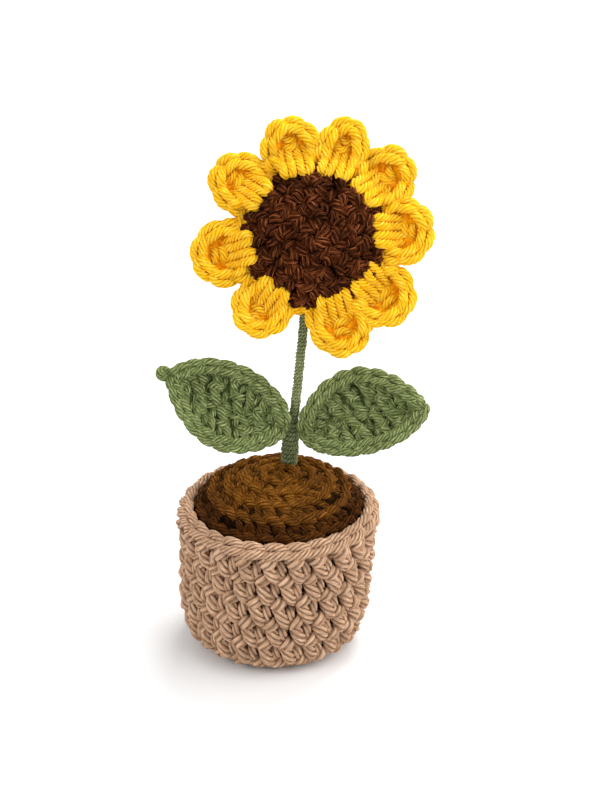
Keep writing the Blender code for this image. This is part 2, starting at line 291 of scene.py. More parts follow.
class Spun:
    """The growing mesh of a piece: its vertices with their marks, and its faces with their map."""

    def __init__(self, yarn, total):
        self.yarn = yarn
        self.rows = max(1, int(round(sqrt(total * yarn.step / (2 * pi * yarn.radius)))))
        self.per_row = int(np.ceil(total / self.rows)) + 1
        self.verts, self.marks, self.crests, self.proud = [], [], [], []
        self.faces, self.uv = [], []
        self.count = 0  # vertices so far
        self.placed = 0  # rings so far

    def add(self, verts, marks, crests, proud, faces, uv):
        self.verts.append(verts)
        self.marks.append(marks)
        self.crests.append(crests)
        self.proud.append(proud)
        self.faces.append(faces + self.count)
        self.uv.append(uv)

    def add_strand(self, points, sizes, closed, index):
        sides = self.yarn.sides
        turns = self.yarn.turns()
        rings, along, shift = sweep(points, sizes, self.yarn, closed)
        count = len(points)
        marks = np.empty((count, sides, 3))
        marks[:, :, 0] = along[:, None] + STRAND_SHIFT * index
        marks[:, :, 1] = self.yarn.radius * np.cos(turns)
        marks[:, :, 2] = self.yarn.radius * np.sin(turns)
        marks = marks.reshape(-1, 3)
        # crest and proud carry painted shade into the material: darker in the grooves between plies and on
        # the strands that lie deep
        crests = np.tile(self.yarn.crest(), count)
        proud = np.repeat(np.clip((sizes - SUNK) / (PROUD - SUNK), 0.0, 1.0), sides)
        quads = strand_quads(count, sides, closed, shift)
        uv = strand_uv(len(quads) // sides, self.placed, sides, self.per_row, self.rows + 2)
        self.add(rings.reshape(-1, 3), marks, crests, proud, quads, uv)
        if not closed:
            around = np.arange(sides)
            for cap in (around[::-1], around + (count - 1) * sides):
                self.faces.append(cap[None] + self.count)
                self.uv.append(np.full((sides, 2), CAP_CORNER))
        self.count += count * sides
        self.placed += count

        rng = np.random.default_rng(index + count)
        verts, faces = hairs(rings, points, self.yarn, rng)
        marks = np.zeros((len(verts), 3))
        tones = rng.uniform(0, HAIR_TONES, len(verts) // HAIR_VERTS)
        marks[:, 0] = np.repeat(tones, HAIR_VERTS)
        lit = np.ones(len(verts))
        self.add(verts, marks, lit, lit, faces, np.full((faces.size, 2), HAIR_CORNER))
        self.count += len(verts)

    def mesh(self, name):
        made = bpy.data.meshes.new(name)
        made.vertices.add(self.count)
        places = np.vstack(self.verts)
        places[:, 2] = rested(places[:, 2])
        made.vertices.foreach_set("co", (places * MM).astype(np.float32).ravel())
        corners = np.concatenate([block.ravel() for block in self.faces])
        sizes = np.concatenate([np.full(len(block), block.shape[1]) for block in self.faces])
        starts = np.cumsum(sizes) - sizes
        made.loops.add(len(corners))
        made.loops.foreach_set("vertex_index", corners.astype(np.int32))
        made.polygons.add(len(starts))
        made.polygons.foreach_set("loop_start", starts.astype(np.int32))
        layer = made.uv_layers.new(name="OFBake")
        layer.uv.foreach_set("vector", np.vstack(self.uv).astype(np.float32).ravel())
        fibre = made.attributes.new("fibre", "FLOAT_VECTOR", "POINT")
        fibre.data.foreach_set("vector", np.vstack(self.marks).astype(np.float32).ravel())
        # crest and proud are masks of painted shade for the material
        for attribute, blocks in (("crest", self.crests), ("proud", self.proud)):
            values = made.attributes.new(attribute, "FLOAT", "POINT")
            values.data.foreach_set("value", np.concatenate(blocks).astype(np.float32))
        made.update()
        made.validate()
        made.shade_smooth()
        return made


def yarn_object(name, strands, yarn):
    """The mesh object of some strands, each a list of points, their sizes and whether it is closed."""
    spun = Spun(yarn, sum(len(points) for points, _, _ in strands))
    for index, (points, sizes, closed) in enumerate(strands):
        spun.add_strand(points, sizes, closed, index)
    return linked(name, spun.mesh(name), yarn.finish)


def linked(name, mesh, finish):
    mesh.materials.append(finish)
    made = bpy.data.objects.new(name, mesh)
    bpy.context.scene.collection.objects.link(made)
    return made


# ---- stitches

# A stitch is worked to the left. Each control point is (x, y, out, size): x in stitches from the hole
# that it is worked into, y in rows above that hole, out in yarn radii, and size the yarn's thickness.

# Single crochet from outside: an upright right leg, a steep fat left leg, and the front loop of its
# top, which shows as a lump beside the left leg of a stitch in the next round.
SINGLE = [
    (0.42, 0.80, -1.3, 0.86),
    (0.28, 0.30, -1.3, 0.86),
    (0.13, -0.04, -0.5, 0.86),
    (0.08, 0.18, 0.8, 0.93),
    (0.07, 0.50, 1.5, 1.02),
    (0.07, 0.82, 1.0, 0.99),
    (0.00, 1.04, -0.3, 0.88),
    (-0.20, 1.12, -0.8, 0.88),
    (-0.42, 1.12, -0.3, 0.92),
    (-0.49, 0.94, 1.1, 1.08),
    (-0.36, 0.64, 2.0, 1.22),
    (-0.20, 0.30, 2.0, 1.20),
    (-0.04, 0.02, 0.8, 1.00),
    (-0.03, -0.10, -0.5, 0.86),
    (-0.08, 0.30, -1.3, 0.86),
    (-0.10, 0.90, -1.1, 0.86),
    (-0.22, 1.04, 0.0, 0.96),
    (-0.30, 1.18, 1.5, 1.20),
    (-0.46, 1.15, 2.2, 1.34),
    (-0.60, 1.02, 1.1, 1.12),
    (-0.68, 1.00, -0.8, 0.86),
    (-0.62, 0.94, -1.4, 0.86),
]

# Single crochet whose top loops lie proud of the fabric, as a rope round the piece.
ROPE = [
    (0.35, 0.75, -1.1, 0.9),
    (0.20, 0.30, -1.0, 0.9),
    (0.10, 0.05, -0.4, 0.9),
    (0.06, 0.18, 0.5, 0.9),
    (0.05, 0.50, 0.7, 0.9),
    (0.00, 0.80, 0.2, 0.9),
    (-0.30, 0.95, -0.5, 0.9),
    (-0.60, 0.80, 0.1, 0.95),
    (-0.42, 0.45, 0.8, 1.0),
    (-0.12, 0.16, 0.6, 1.0),
    (-0.04, 0.02, -0.4, 0.9),
    (-0.08, 0.50, -1.0, 0.9),
    (0.02, 0.90, 0.2, 1.0),
    (-0.25, 0.84, 1.5, 1.1),
    (-0.70, 0.96, 1.7, 1.1),
    (-1.08, 1.06, 0.8, 1.0),
    (-1.15, 1.14, -0.2, 0.9),
    (-0.85, 1.10, -0.6, 0.9),
    (-0.45, 0.98, -0.8, 0.9),
]

# Tight stitches seen end on: every leg and loop is a short bead.
BEADS = [
    (0.46, 0.60, -1.2, 0.86),
    (0.30, 0.22, -0.8, 0.86),
    (0.20, 0.20, 0.8, 1.02),
    (0.14, 0.45, 1.7, 1.18),
    (0.16, 0.75, 0.8, 1.02),
    (0.05, 0.98, -0.8, 0.86),
    (-0.26, 0.95, -0.8, 0.86),
    (-0.40, 0.80, 0.8, 1.04),
    (-0.34, 0.48, 1.9, 1.20),
    (-0.20, 0.16, 1.0, 1.04),
    (-0.06, -0.02, -0.6, 0.86),
    (-0.04, 0.50, -1.2, 0.86),
    (-0.02, 0.95, 0.0, 0.95),
    (-0.12, 1.04, 1.4, 1.12),
    (-0.38, 1.08, 1.9, 1.18),
    (-0.60, 1.04, 0.9, 1.02),
    (-0.70, 0.98, -0.8, 0.86),
    (-0.62, 0.80, -1.3, 0.86),
]

# Single crochet pulled flat, as in a leaf.
FLAT_SINGLE = [(x, y, out * 0.7, size) for x, y, out, size in SINGLE]

# A chain: two strands side by side, with every loop drawn through the one before it. Here y is in
# yarn radii across the chain.
CHAIN = [
    (0.12, 0.00, -0.6, 0.92),
    (-0.06, 0.45, 0.3, 1.0),
    (-0.36, 0.88, 0.8, 1.08),
    (-0.76, 1.05, 0.5, 1.05),
    (-1.06, 0.75, -0.4, 0.95),
    (-1.18, 0.00, -0.8, 0.90),
    (-1.06, -0.75, -0.4, 0.95),
    (-0.76, -1.05, 0.5, 1.05),
    (-0.36, -0.88, 0.8, 1.08),
    (-0.06, -0.45, 0.3, 1.0),
    (0.10, 0.00, -0.8, 0.90),
    (-0.30, 0.00, -1.5, 0.85),
    (-0.65, 0.00, -1.5, 0.85),
]


# how unevenly the x, y, out and size of control points are spread
SPREAD = (0.018, 0.016, 0.06, 0.03)


def stitches(pattern, count, surface, yarn, rng, start=0.0, row=0.0, scale=1.0, jitter=1.0):
    """Control points of a round or run of stitches laid on a surface.

    surface(turn, up, out) gives a point at a share of the round, a height above the first row, and mm
    outward. scale is the height of one row in the surface's own unit.
    """
    shape = np.array(pattern)
    spread = np.array(SPREAD) * jitter
    runs = []
    for i in range(count):
        moved = shape + rng.normal(size=shape.shape) * spread + rng.normal(size=4) * spread
        turns = (start - i + moved[:, 0]) / count
        places = surface(turns, row + moved[:, 1] * scale, moved[:, 2] * yarn.radius)
        runs.append(np.column_stack([places, moved[:, 3]]))
    return np.vstack(runs)


def laid(controls, yarn, closed=True):
    """Control points to one strand: an even, relaxed path with its sizes."""
    points = even(spline(controls, closed), closed, yarn.step)
    points = smooth(points, closed, int(round(2 * (yarn.relax / yarn.step) ** 2)))
    points = even(points, closed, yarn.step)
    return points[:, :3], points[:, 3], closed


class Turned:
    """A surface of revolution for rounds of stitches: rows against (radius, height).

    The profile runs the way the rounds are worked. Outward is to the right of that way, or to the
    left where flip is set, as on a disc that is worked from its middle and seen from above.
    """

    REACH = 0.3  # share of a row over which the slope is measured

    def __init__(self, profile, origin=(0.0, 0.0, 0.0), axes=None, lean=0.0, flip=False):
        self.rows, self.radii, self.heights = (np.array(column, float) for column in zip(*profile))
        self.origin = np.array(origin, float)
        self.axes = np.eye(3) if axes is None else np.array(axes, float)
        self.lean = lean
        self.side = -1.0 if flip else 1.0

    def at(self, up):
        up = np.clip(up, self.rows[0], self.rows[-1])
        return np.interp(up, self.rows, self.radii), np.interp(up, self.rows, self.heights)

    def __call__(self, turns, up, out):
        radius, height = self.at(up)
        inner = np.clip(up, self.rows[0] + self.REACH, self.rows[-1] - self.REACH)
        ahead_r, ahead_h = self.at(inner + self.REACH)
        behind_r, behind_h = self.at(inner - self.REACH)
        rise = np.stack([ahead_r - behind_r, ahead_h - behind_h], 1)
        rise /= np.linalg.norm(rise, axis=1)[:, None]
        radius = radius + rise[:, 1] * out * self.side
        height = height - rise[:, 0] * out * self.side
        angles = 2 * pi * turns * self.side
        across = radius * np.sin(angles) + self.lean * height
        local = np.stack([across, -radius * np.cos(angles), height], axis=1)
        return self.origin + local @ self.axes


def shade_sheet(name, surface, ups, outs, finish, columns=60, rows=16):
    """A thin closed sheet behind the stitches, between two depths, whose dark material paints the shade in
    the gaps between them.
    """
    turns = np.arange(columns) / columns
    levels = np.linspace(ups[0], ups[1], rows)
    layers = []
    for out in outs:
        grid = [surface(turns, np.full(columns, level), np.full(columns, float(out))) for level in levels]
        layers.append(np.stack(grid))
    verts = np.vstack([layer.reshape(-1, 3) for layer in layers])
    faces = []
    per = rows * columns
    for r in range(rows - 1):
        for c in range(columns):
            n = (c + 1) % columns
            a, b, d, e = r * columns + c, r * columns + n, (r + 1) * columns + n, (r + 1) * columns + c
            faces.append((a, b, d, e))
            faces.append((per + e, per + d, per + b, per + a))
    top = (rows - 1) * columns
    for c in range(columns):
        n = (c + 1) % columns
        faces.append((per + c, per + n, n, c))
        faces.append((top + c, top + n, per + top + n, per + top + c))
    mesh = bpy.data.meshes.new(name)
    mesh.from_pydata((verts * MM).tolist(), [], faces)
    mesh.shade_smooth()
    return linked(name, mesh, finish)


# ---- materials


def new_material(name):
    """A material with its nodes, links and shader."""
    made = bpy.data.materials.new(name)
    made.use_nodes = True
    nodes, links = made.node_tree.nodes, made.node_tree.links
    return made, nodes, links, nodes["Principled BSDF"]


def object_noise(nodes, links, scale, detail=2.0):
    """Noise in the object's own space, scale being in waves per metre."""
    coords = nodes.new("ShaderNodeTexCoord")
    made = nodes.new("ShaderNodeTexNoise")
    made.inputs["Scale"].default_value = scale
    made.inputs["Detail"].default_value = detail
    links.new(coords.outputs["Object"], made.inputs["Vector"])
    return made.outputs["Fac"]


def add_bump(nodes, links, height, strength, distance, shader):
    bump = nodes.new("ShaderNodeBump")
    bump.inputs["Strength"].default_value = strength
    bump.inputs["Distance"].default_value = distance
    links.new(height, bump.inputs["Height"])
    links.new(bump.outputs["Normal"], shader.inputs["Normal"])


def attribute(nodes, name, output):
    """A mesh attribute's value or vector."""
    made = nodes.new("ShaderNodeAttribute")
    made.attribute_name = name
    return made.outputs[output]


def ramp_node(nodes, stops):
    """A colour ramp with the given (position, colour) stops."""
    ramp = nodes.new("ShaderNodeValToRGB")
    first, *middle, last = stops
    for element, (position, colour) in zip(ramp.color_ramp.elements, (first, last)):
        element.position = position
        element.color = (*colour, 1.0)
    for position, colour in middle:
        ramp.color_ramp.elements.new(position).color = (*colour, 1.0)
    return ramp


def shade_node(nodes, links, source, low, high, darkest, lightest):
    """Maps a value from low..high to a brightness from darkest to lightest."""
    made = nodes.new("ShaderNodeMapRange")
    made.inputs["From Min"].default_value = low
    made.inputs["From Max"].default_value = high
    made.inputs["To Min"].default_value = darkest
    made.inputs["To Max"].default_value = lightest
    links.new(source, made.inputs["Value"])
    return made.outputs["Result"]


def multiplied(nodes, links, colour, value):
    made = nodes.new("ShaderNodeMix")
    made.data_type = "RGBA"
    made.blend_type = "MULTIPLY"
    made.inputs["Factor"].default_value = 1.0
    # a mix of colours has them at inputs 6 and 7 and at output 2
    links.new(colour, made.inputs[6])
    links.new(value, made.inputs[7])
    return made.outputs[2]


def yarn_material(name, dark, base, light, groove=0.45, sunk_shade=0.5, drift=0.14, gloss=0.05):
    """Soft matt yarn with fibres along its plies and a slowly drifting tone.

    groove and sunk_shade are painted shade: the brightness between two plies and of the strands deep in
    the fabric.
    """
    made, nodes, links, shader = new_material(name)
    shader.inputs["Roughness"].default_value = 0.88
    shader.inputs["Specular IOR Level"].default_value = gloss
    shader.inputs["Sheen Weight"].default_value = gloss / 3
    shader.inputs["Sheen Roughness"].default_value = 0.5
    shader.inputs["Sheen Tint"].default_value = (*light, 1.0)

    stretch = nodes.new("ShaderNodeMapping")
    stretch.inputs["Scale"].default_value = (0.45, 3.0, 3.0)
    links.new(attribute(nodes, "fibre", "Vector"), stretch.inputs["Vector"])
    streak = nodes.new("ShaderNodeTexNoise")
    streak.inputs["Scale"].default_value = 1.6
    streak.inputs["Detail"].default_value = 4.0
    streak.inputs["Roughness"].default_value = 0.65
    links.new(stretch.outputs["Vector"], streak.inputs["Vector"])
    ramp = ramp_node(nodes, ((0.30, dark), (0.50, base), (0.72, light)))
    links.new(streak.outputs["Fac"], ramp.inputs["Fac"])

    # painted shade: the colour is darkened in the grooves between plies and on the strands that lie deep
    # in the fabric
    painted_groove_shade = shade_node(nodes, links, attribute(nodes, "crest", "Fac"), 0.0, 0.85, groove, 1.0)
    painted_depth_shade = shade_node(nodes, links, attribute(nodes, "proud", "Fac"), 0.0, 0.9, sunk_shade, 1.0)
    cloud = object_noise(nodes, links, 130.0, 3.0)
    drifted = shade_node(nodes, links, cloud, 0.3, 0.7, 1 - drift, 1 + drift * 0.7)
    colour = multiplied(nodes, links, ramp.outputs["Color"], painted_groove_shade)
    colour = multiplied(nodes, links, colour, painted_depth_shade)
    colour = multiplied(nodes, links, colour, drifted)
    links.new(colour, shader.inputs["Base Color"])

    add_bump(nodes, links, streak.outputs["Fac"], 0.4, 0.00025, shader)
    return made


def felt_material(name, dark, light):
    """A matt sheet with a fine tangle of fibres: the dark ones paint the shade in the gaps of the fabric,
    the pale one is the fibre fill.
    """
    made, nodes, links, shader = new_material(name)
    shader.inputs["Roughness"].default_value = 0.95
    shader.inputs["Specular IOR Level"].default_value = 0.1
    tangle = object_noise(nodes, links, 900.0, 4.0)
    ramp = ramp_node(nodes, ((0.35, dark), (0.65, light)))
    links.new(tangle, ramp.inputs["Fac"])
    links.new(ramp.outputs["Color"], shader.inputs["Base Color"])
    add_bump(nodes, links, tangle, 0.5, 0.0003, shader)
    return made


# ---- stage


def lamp(name, position, target, size, power):
    light = bpy.data.lights.new(name, "AREA")
    light.shape = "DISK"
    light.size = size
    light.energy = power
    made = bpy.data.objects.new(name, light)
    made.location = position
    made.rotation_euler = (Vector(target) - Vector(position)).to_track_quat("-Z", "Y").to_euler()
    bpy.context.scene.collection.objects.link(made)


def make_stage():
    scene = bpy.context.scene
    low, _ = cad_box

    floor_material = bpy.data.materials.new("floor")
    floor_material.use_nodes = True
    shader = floor_material.node_tree.nodes["Principled BSDF"]
    shader.inputs["Base Color"].default_value = (0.74, 0.74, 0.74, 1.0)
    shader.inputs["Roughness"].default_value = 0.6
    bpy.ops.mesh.primitive_plane_add(size=8.0, location=(0, 0, low[2] - 0.0002))
    floor = bpy.context.object
    floor.name = "floor"
    floor.data.materials.append(floor_material)

    world = bpy.data.worlds.new("studio")
    scene.world = world
    world.use_nodes = True
    background = world.node_tree.nodes["Background"]
    background.inputs["Color"].default_value = (1.0, 1.0, 1.0, 1.0)
    background.inputs["Strength"].default_value = 0.76

    middle = (0.0, 0.0, 0.09)
    lamp("key", (0.76, -0.28, 0.76), middle, 1.3, 12.4)
    lamp("fill", (-0.7, -0.45, 0.55), middle, 0.5, 4.0)
    lamp("back", (0.25, 0.5, 0.9), middle, 0.6, 8.0)

    camera_data = bpy.data.cameras.new("camera")
    camera_data.lens = 98.7
    camera_data.sensor_width = 36.0
    camera_data.clip_start = 0.01
    camera = bpy.data.objects.new("camera", camera_data)
    camera.location = (0.0098, -0.6310, 0.3944)
    camera.rotation_euler = (radians(64.0), 0.0, 0.0)
    scene.collection.objects.link(camera)
    scene.camera = camera
    scene.view_settings.view_transform = "Standard"


# ---- pieces


# each yarn's dark, middle and light fibres come first
BEIGE = yarn_material(
    "beige_yarn", (0.21, 0.104, 0.048), (0.45, 0.268, 0.160), (0.84, 0.60, 0.435),
    groove=0.31, sunk_shade=0.14,
)
# the soil yarn at the top, and copies with painted shade for its side and darker painted shade for its low
# edge: colours, groove, sunk and drift
SOIL_LIT_AND_SHADED = (
    ("", (0.040, 0.011, 0.001), (0.160, 0.055, 0.005), (0.40, 0.180, 0.028), 0.3, 0.2, 0.35),
    ("_painted_shade", (0.026, 0.007, 0.001), (0.108, 0.036, 0.004), (0.30, 0.125, 0.020), 0.28, 0.14, 0.35),
    ("_deep_painted_shade", (0.012, 0.003, 0.001), (0.056, 0.017, 0.002), (0.18, 0.066, 0.010), 0.25, 0.08, 0.4),
)
DARK = yarn_material(
    "centre_yarn", (0.008, 0.002, 0.001), (0.044, 0.0090, 0.0020), (0.38, 0.120, 0.040),
    groove=0.16, sunk_shade=0.05, drift=0.7, gloss=0.02,
)
GOLD = yarn_material(
    "petal_yarn", (0.68, 0.22, 0.001), (0.88, 0.46, 0.002), (1.0, 0.80, 0.15),
    groove=0.62, sunk_shade=0.7,
)
LEAF = yarn_material(
    "leaf_yarn", (0.046, 0.068, 0.012), (0.134, 0.174, 0.052), (0.62, 0.67, 0.34),
    groove=0.31, sunk_shade=0.25,
)
STEM = yarn_material(
    "stem_yarn", (0.100, 0.122, 0.048), (0.225, 0.260, 0.115), (0.50, 0.54, 0.31), groove=0.3
)
# dark sheets behind the stitches: painted shade in each fabric's gaps; the fibre fill has the stuffing's
# own colour
BEIGE_SHADE = felt_material("beige_painted_shade", (0.075, 0.032, 0.013), (0.14, 0.068, 0.033))
SOIL_SHADE = felt_material("soil_painted_shade", (0.010, 0.003, 0.0005), (0.030, 0.010, 0.001))
DARK_SHADE = felt_material("centre_painted_shade", (0.005, 0.0015, 0.0008), (0.016, 0.005, 0.002))
GOLD_SHADE = felt_material("petal_painted_shade", (0.52, 0.14, 0.001), (0.86, 0.37, 0.002))
LEAF_SHADE = felt_material("leaf_painted_shade", (0.040, 0.058, 0.014), (0.10, 0.13, 0.038))
FLUFF = felt_material("fibre_fill", (0.62, 0.60, 0.57), (0.86, 0.85, 0.82))

POT_YARN = Yarn(1.74, 5, 12.5, BEIGE, relax=0.5)
RIM_YARN = Yarn(1.50, 6, 10.5, BEIGE)
SOIL_YARNS = [
    Yarn(1.38, 6, 9.0, yarn_material(f"soil_yarn{place}", *look), relax=0.45, rough=0.10, fuzz=2.4)
    for place, *look in SOIL_LIT_AND_SHADED
]
DARK_YARN = Yarn(1.60, 6, 10.0, DARK, relax=0.4, rough=0.08, fuzz=1.6)
GOLD_YARN = Yarn(1.48, 6, 9.5, GOLD, relax=0.5, fuzz=1.6)
LEAF_YARN = Yarn(1.30, 6, 8.5, LEAF, relax=0.45)
STEM_YARN = Yarn(0.67, 3, 2.6, STEM, step=0.3)

POT_FOOT = (0.8, 0.0, 0.0)  # the middle of the pot's underside
POT_LEAN = 2.1 / 49.0
HEAD_CENTRE = np.array((13.9, 12.0, 138.2))
HEAD_TILT = radians(27)
HEAD_AXES = np.array(
    ((1.0, 0.0, 0.0), (0.0, sin(HEAD_TILT), cos(HEAD_TILT)), (0.0, -cos(HEAD_TILT), sin(HEAD_TILT)))
)
DISC_CENTRE = HEAD_CENTRE + np.array((0.5, -0.6, 0.0)) @ HEAD_AXES  # the disc sits off the petals' middle


def settle(pieces, node):
    """Every piece rides on the one body and stands for its CAD node."""
    for piece in pieces:
        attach(piece, "root")
        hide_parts(node)


# rows against (radius, height) of the pot wall's middle line, from the bottom's middle to the rim
POT_PROFILE = [
    (-4.0, 1.5, 5.0),
    (-1.4, 14.6, 5.0),
    (-0.5, 20.8, 5.2),
    (0.0, 23.2, 6.4),
    (0.4, 24.7, 8.4),
    (1.0, 26.0, 12.8),
    (2.0, 26.7, 20.3),
    (3.0, 26.8, 28.4),
    (4.0, 26.8, 36.6),
    (4.7, 27.4, 42.0),
    (5.4, 28.6, 47.0),
]
POT_COUNT = 24
POT_SKEW = 0.27  # stitches that each round starts further right than the one below


def make_pot():
    rng = np.random.default_rng(11)
    wall = Turned(POT_PROFILE, POT_FOOT, lean=POT_LEAN)
    pieces = []
    for row, count in enumerate((7, 13, 19) + (POT_COUNT,) * 6, start=-4):
        name = f"pot_bottom_{row + 5}" if row < 0 else f"pot_round_{row + 1}"
        controls = stitches(SINGLE, count, wall, POT_YARN, rng, start=POT_SKEW * row, row=row)
        pieces.append(yarn_object(name, [laid(controls, POT_YARN)], POT_YARN))
    # the chains run on bands whose rows are mm, sloping in and up at the rim and out and up below
    rim = Turned([(-3, 32.0, 45.2), (0, 29.9, 47.3), (3, 27.8, 49.4)], POT_FOOT, lean=POT_LEAN)
    foot = Turned([(-3, 21.6, 2.6), (0, 24.2, 4.2), (3, 26.0, 6.8)], POT_FOOT, lean=POT_LEAN)
    for name, band in (("pot_rim", rim), ("pot_foot", foot)):
        controls = stitches(CHAIN, 26, band, RIM_YARN, rng, scale=RIM_YARN.radius, start=0.4)
        pieces.append(yarn_object(name, [laid(controls, RIM_YARN)], RIM_YARN))
    # a dark sheet behind the wall: painted shade in the gaps between the stitches
    pieces.append(shade_sheet("pot_shade_sheet", wall, (-3.9, 5.2), (0.0, -1.6), BEIGE_SHADE))
    settle(pieces, "pot")


def dome(radius, rise, base, rows, power=2.0):
    """Profile of a dome worked from its top: rows run down from the middle to the edge."""
    hole = 1.0  # radius in mm of the hole that the first round is drawn up to
    profile = []
    for share in np.linspace(0.0, 1.0, 25):
        r = hole + (radius - hole) * sin(share * pi / 2) ** 0.9
        h = base + rise * max(0.0, 1 - (r / radius) ** power) ** (1 / power)
        profile.append((r, h))
    steps = [np.hypot(b[0] - a[0], b[1] - a[1]) for a, b in zip(profile, profile[1:])]
    lengths = np.concatenate([[0.0], np.cumsum(steps)])
    return [(rows * length / lengths[-1], r, h) for length, (r, h) in zip(lengths, profile)]


def make_soil():
    rng = np.random.default_rng(23)
    surface = Turned(dome(25.2, 14.0, 43.6, 5.8, power=2.25), POT_FOOT, lean=POT_LEAN, flip=True)
    pieces = []
    for row, count in enumerate((7, 14, 20, 26, 31, 34)):
        # the outer rounds take the copies with painted shade, darkest at the low edge by the rim
        yarn = SOIL_YARNS[max(0, min(row - 2, 2))]
        controls = stitches(ROPE, count, surface, yarn, rng, start=0.3 * row, row=row - 0.1, jitter=1.6)
        pieces.append(yarn_object(f"soil_round_{row + 1}", [laid(controls, yarn)], yarn))
    # a dark sheet under the rounds: painted shade in the gaps between the stitches
    pieces.append(shade_sheet("soil_shade_sheet", surface, (0.0, 5.8), (-0.4, -1.6), SOIL_SHADE))
    settle(pieces, "soil")


def make_discs():
    rng = np.random.default_rng(37)
    for node, rise, base, flip in (("flower_centre", 10.3, -2.0, True), ("flower_back", 5.4, -0.6, False)):
        profile = dome(19.5, rise, base, 5.0)
        if not flip:
            profile = [(row, r, -h) for row, r, h in profile]
        surface = Turned(profile, DISC_CENTRE, HEAD_AXES, flip=flip)
        pieces = []
        for row, count in enumerate((5, 8, 12, 15, 18)):
            controls = stitches(
                BEADS, count, surface, DARK_YARN, rng, start=0.3 * row, row=row, jitter=2.0
            )
            name = f"{node}_round_{row + 1}"
            pieces.append(yarn_object(name, [laid(controls, DARK_YARN)], DARK_YARN))
        # a dark sheet behind the rounds: painted shade in the gaps between the stitches
        pieces.append(shade_sheet(node + "_shade_sheet", surface, (0.0, 5.0), (-0.6, -1.8), DARK_SHADE, 40))
        settle(pieces, node)


# direction in degrees from the head's right, width and reach of each petal
PETALS = [
    (3, 22.0, 38.2),
    (39, 20.4, 39.4),
    (71, 16.6, 39.0),
    (104, 19.6, 38.2),
    (144, 20.0, 38.2),
    (191.5, 21.4, 39.0),
    (234.5, 19.4, 37.4),
    (287.5, 21.0, 39.6),
    (319.5, 21.6, 39.2),
]

# One post of a petal, from its top down over the disc's edge and back up: (across in yarn radii, share
# of the way from the disc's edge to the petal's hollow, lift in yarn radii, size).
POST = [
    (-0.60, 1.42, -1.3, 0.90),
    (-0.85, 1.05, 0.0, 1.02),
    (-0.98, 0.62, 0.4, 1.08),
    (-0.98, 0.28, 0.9, 1.10),
    (-0.82, -0.04, 1.2, 1.02),
    (-0.30, -0.22, 0.8, 0.90),
    (0.30, -0.22, 0.7, 0.90),
    (0.82, -0.04, 1.2, 1.02),
    (0.98, 0.28, 0.9, 1.10),
    (0.98, 0.62, 0.5, 1.08),
    (0.85, 1.05, 0.1, 1.02),
    (0.60, 1.42, -1.3, 0.90),
]

# The two strands that cross a petal's hollow, in the same terms.
CROSSING = [
    (-2.4, 1.85, -1.0, 0.90),
    (-1.2, 1.72, 0.1, 0.95),
    (0.0, 1.66, 0.3, 1.00),
    (1.2, 1.80, 0.0, 0.95),
    (2.4, 2.10, -1.0, 0.90),
]
LOW_CROSSING = [
    (-2.4, 1.50, -1.2, 0.90),
    (-1.2, 1.38, 0.0, 0.95),
    (0.0, 1.25, 0.5, 1.00),
    (1.2, 1.30, 0.1, 0.95),
    (2.4, 1.05, -1.0, 0.90),
]


class Petal:
    """A petal's own plane: along from the head's middle, across to the left of that, and lift."""

    ROOT = 21.0
    SWEEP = radians(140)  # the border runs this far round on each side of the tip
    LOBE = 6.5  # from the disc's edge to the petal's hollow
    TILT = radians(20)  # the border's chain faces outward by this
    INSET = 1.9  # from the petal's outline to the chain's middle, in yarn radii
    BORDER_LIFT = 1.5
    SINK = 1.9  # how far the border's ends go down at the disc's edge
    SINK_REACH = 2.5
    POST_START = 0.6  # how far inside the root the posts begin
    POST_LIFT = 4.3  # how far the posts rise over the disc's edge
    POST_REACH = 4.0
    SHEET_CUP = 0.9
    SHEET_LIFT = 0.3

    def __init__(self, turn, width, reach, roll, nod):
        inset = GOLD_YARN.radius * self.INSET
        self.turn = radians(turn)
        self.half = width / 2 - inset
        self.long = (reach - inset - self.ROOT) / (1 - cos(self.SWEEP))
        self.middle = reach - inset - self.long
        self.roll, self.nod = roll, nod  # mm of lift for each mm across and along

    def place(self, along, across, lift):
        x = along * cos(self.turn) - across * sin(self.turn)
        y = along * sin(self.turn) + across * cos(self.turn)
        lift = lift + self.roll * across + self.nod * (along - self.ROOT)
        return HEAD_CENTRE + np.stack([x, y, lift], axis=-1) @ HEAD_AXES

    def border(self, turns, up, out):
        """The band of the outer chain: turns fall from 0 to -1 round the petal, up is outward in mm."""
        angle = (-2 * turns - 1) * self.SWEEP
        normal = np.stack([self.half * np.cos(angle), self.long * np.sin(angle)])
        normal /= np.linalg.norm(normal, axis=0)
        side = up * cos(self.TILT) + out * sin(self.TILT)
        along = self.middle + self.long * np.cos(angle) + normal[0] * side
        across = self.half * np.sin(angle) + normal[1] * side
        sink = self.SINK * np.exp(-(((along - self.ROOT) / self.SINK_REACH) ** 2))
        lift = self.BORDER_LIFT - sink - up * sin(self.TILT) + out * cos(self.TILT)
        return self.place(along, across, lift)

    def strand(self, shape, offset, rng, yarn):
        """One open strand over the petal, shifted across by offset mm."""
        moved = np.array(shape) + rng.normal(size=(len(shape), 4)) * (0.08, 0.03, 0.08, 0.03)
        along = self.ROOT - self.POST_START + self.LOBE * moved[:, 1]
        raised = self.POST_LIFT * np.exp(-(((along - self.ROOT + 1.0) / self.POST_REACH) ** 2)) - 0.2
        places = self.place(along, offset + moved[:, 0] * yarn.radius, raised + moved[:, 2] * yarn.radius)
        return laid(np.column_stack([places, moved[:, 3]]), yarn, closed=False)

    def sheet(self, turns, up, out):
        """The backing, whose orange paints the shade in the petal's hollow: turns round the border, up
        from the petal's middle to the border.
        """
        angle = (2 * turns - 1) * self.SWEEP
        along = self.middle + self.long * np.cos(angle) * up
        across = self.half * np.sin(angle) * up
        return self.place(along, across, self.SHEET_CUP * up**2 + self.SHEET_LIFT + out)


